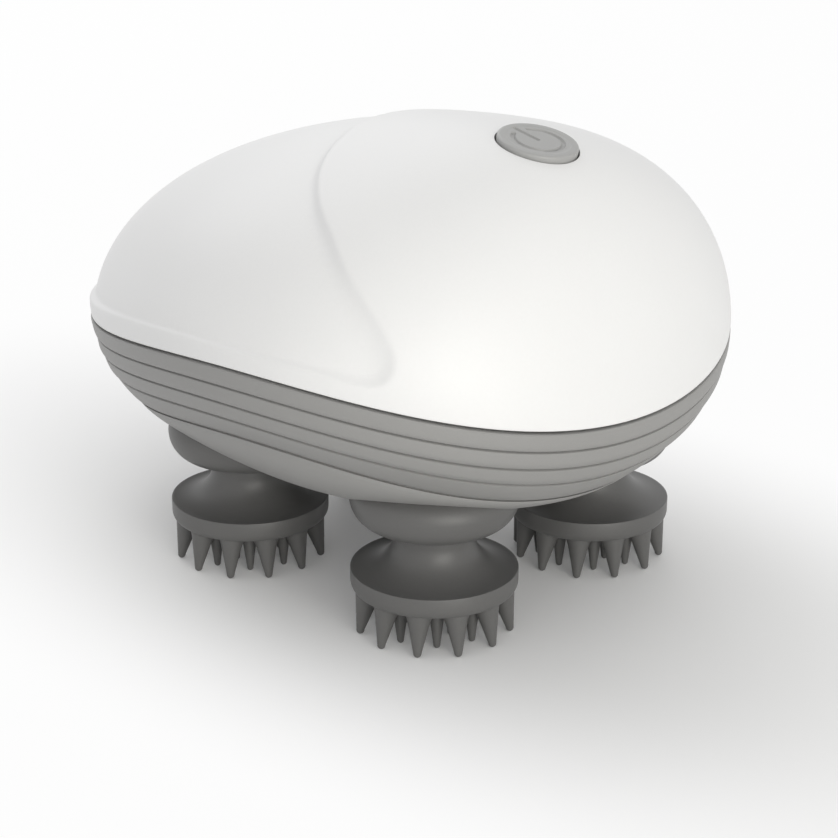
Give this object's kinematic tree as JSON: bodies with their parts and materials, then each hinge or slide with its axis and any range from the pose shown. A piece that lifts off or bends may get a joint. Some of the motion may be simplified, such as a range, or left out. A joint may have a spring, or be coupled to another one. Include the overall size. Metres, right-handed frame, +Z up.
{
  "type": "electric scalp massager",
  "caption": "Egg-shaped handheld electric scalp massager with a white shell, a stepped grey base, a power button on top and turning silicone claw heads underneath.",
  "frame": {"origin": "under the middle of the housing, level with the claw tips", "axes": "+X to the wide end with the power button, -X to the narrow end with the charging port, +Z up from the claw tips to the crown"},
  "size_m": [0.1142, 0.092, 0.0737],
  "materials": {
    "shell": "satin",
    "base": "matte",
    "button": "satin",
    "silicone": "matte",
    "gasket": "matte",
    "steel": "satin",
    "bronze": "satin",
    "nylon": "satin",
    "frame": "matte",
    "board": "satin",
    "cell": "gloss"
  },
  "bodies": {
    "housing": {"upper_housing": "shell", "lower_housing": "base", "seam_gasket": "gasket", "housing_screw_1": "steel", "housing_screw_2": "steel", "housing_screw_3": "steel", "button_seal": "silicone", "tact_switch": "frame", "control_board": "board", "chassis": "frame", "gear_motor": "steel", "motor_collar": "frame", "motor_screw_1": "steel", "motor_screw_2": "steel", "battery": "cell", "battery_cradle": "frame", "charging_socket": "steel", "charging_board": "board", "seal_cup_1": "silicone", "shaft_seal_1": "gasket", "shaft_bush_1": "bronze", "seal_cup_2": "silicone", "shaft_seal_2": "gasket", "shaft_bush_2": "bronze", "seal_cup_3": "silicone", "shaft_seal_3": "gasket", "shaft_bush_3": "bronze", "seal_cup_4": "silicone", "shaft_seal_4": "gasket", "shaft_bush_4": "bronze"},
    "head_1": {"output_gear_1": "nylon", "output_shaft_1": "steel", "massage_head_1": "silicone"},
    "head_2": {"output_gear_2": "nylon", "output_shaft_2": "steel", "massage_head_2": "silicone"},
    "head_3": {"output_gear_3": "nylon", "output_shaft_3": "steel", "massage_head_3": "silicone"},
    "head_4": {"output_gear_4": "nylon", "output_shaft_4": "steel", "massage_head_4": "silicone"},
    "drive": {"drive_gear": "nylon", "motor_shaft": "steel"},
    "button": {"power_button": "button"},
    "plug": {"port_plug": "silicone"}
  },
  "joints": [
    {"name": "head_1_spin", "type": "hinge", "parent": "housing", "child": "head_1", "pos_m": [-0.00985, -0.01872, 0.0175], "axis": [0, 0, 1], "continuous": true},
    {"name": "head_2_spin", "type": "hinge", "parent": "housing", "child": "head_2", "pos_m": [0.03065, -0.01872, 0.0175], "axis": [0, 0, 1], "continuous": true},
    {"name": "head_3_spin", "type": "hinge", "parent": "housing", "child": "head_3", "pos_m": [0.03065, 0.01872, 0.0175], "axis": [0, 0, 1], "continuous": true},
    {"name": "head_4_spin", "type": "hinge", "parent": "housing", "child": "head_4", "pos_m": [-0.00985, 0.01872, 0.0175], "axis": [0, 0, 1], "continuous": true},
    {"name": "drive_spin", "type": "hinge", "parent": "housing", "child": "drive", "pos_m": [0.0104, 0, 0.035], "axis": [0, 0, 1], "continuous": true},
    {"name": "button_press", "type": "slide", "parent": "housing", "child": "button", "axis": [-0.225, 0, -0.9744], "range_m": [0, 0.0005], "stiffness_N_per_m": 900},
    {"name": "plug_pull", "type": "slide", "parent": "housing", "child": "plug", "axis": [-1, 0, 0], "range_m": [0, 0.008]}
  ],
  "couplings": [
    {"joint": "head_2_spin", "follows": "head_1_spin", "ratio": 1},
    {"joint": "head_3_spin", "follows": "head_1_spin", "ratio": 1},
    {"joint": "head_4_spin", "follows": "head_1_spin", "ratio": 1},
    {"joint": "drive_spin", "follows": "head_1_spin", "ratio": -1}
  ]
}
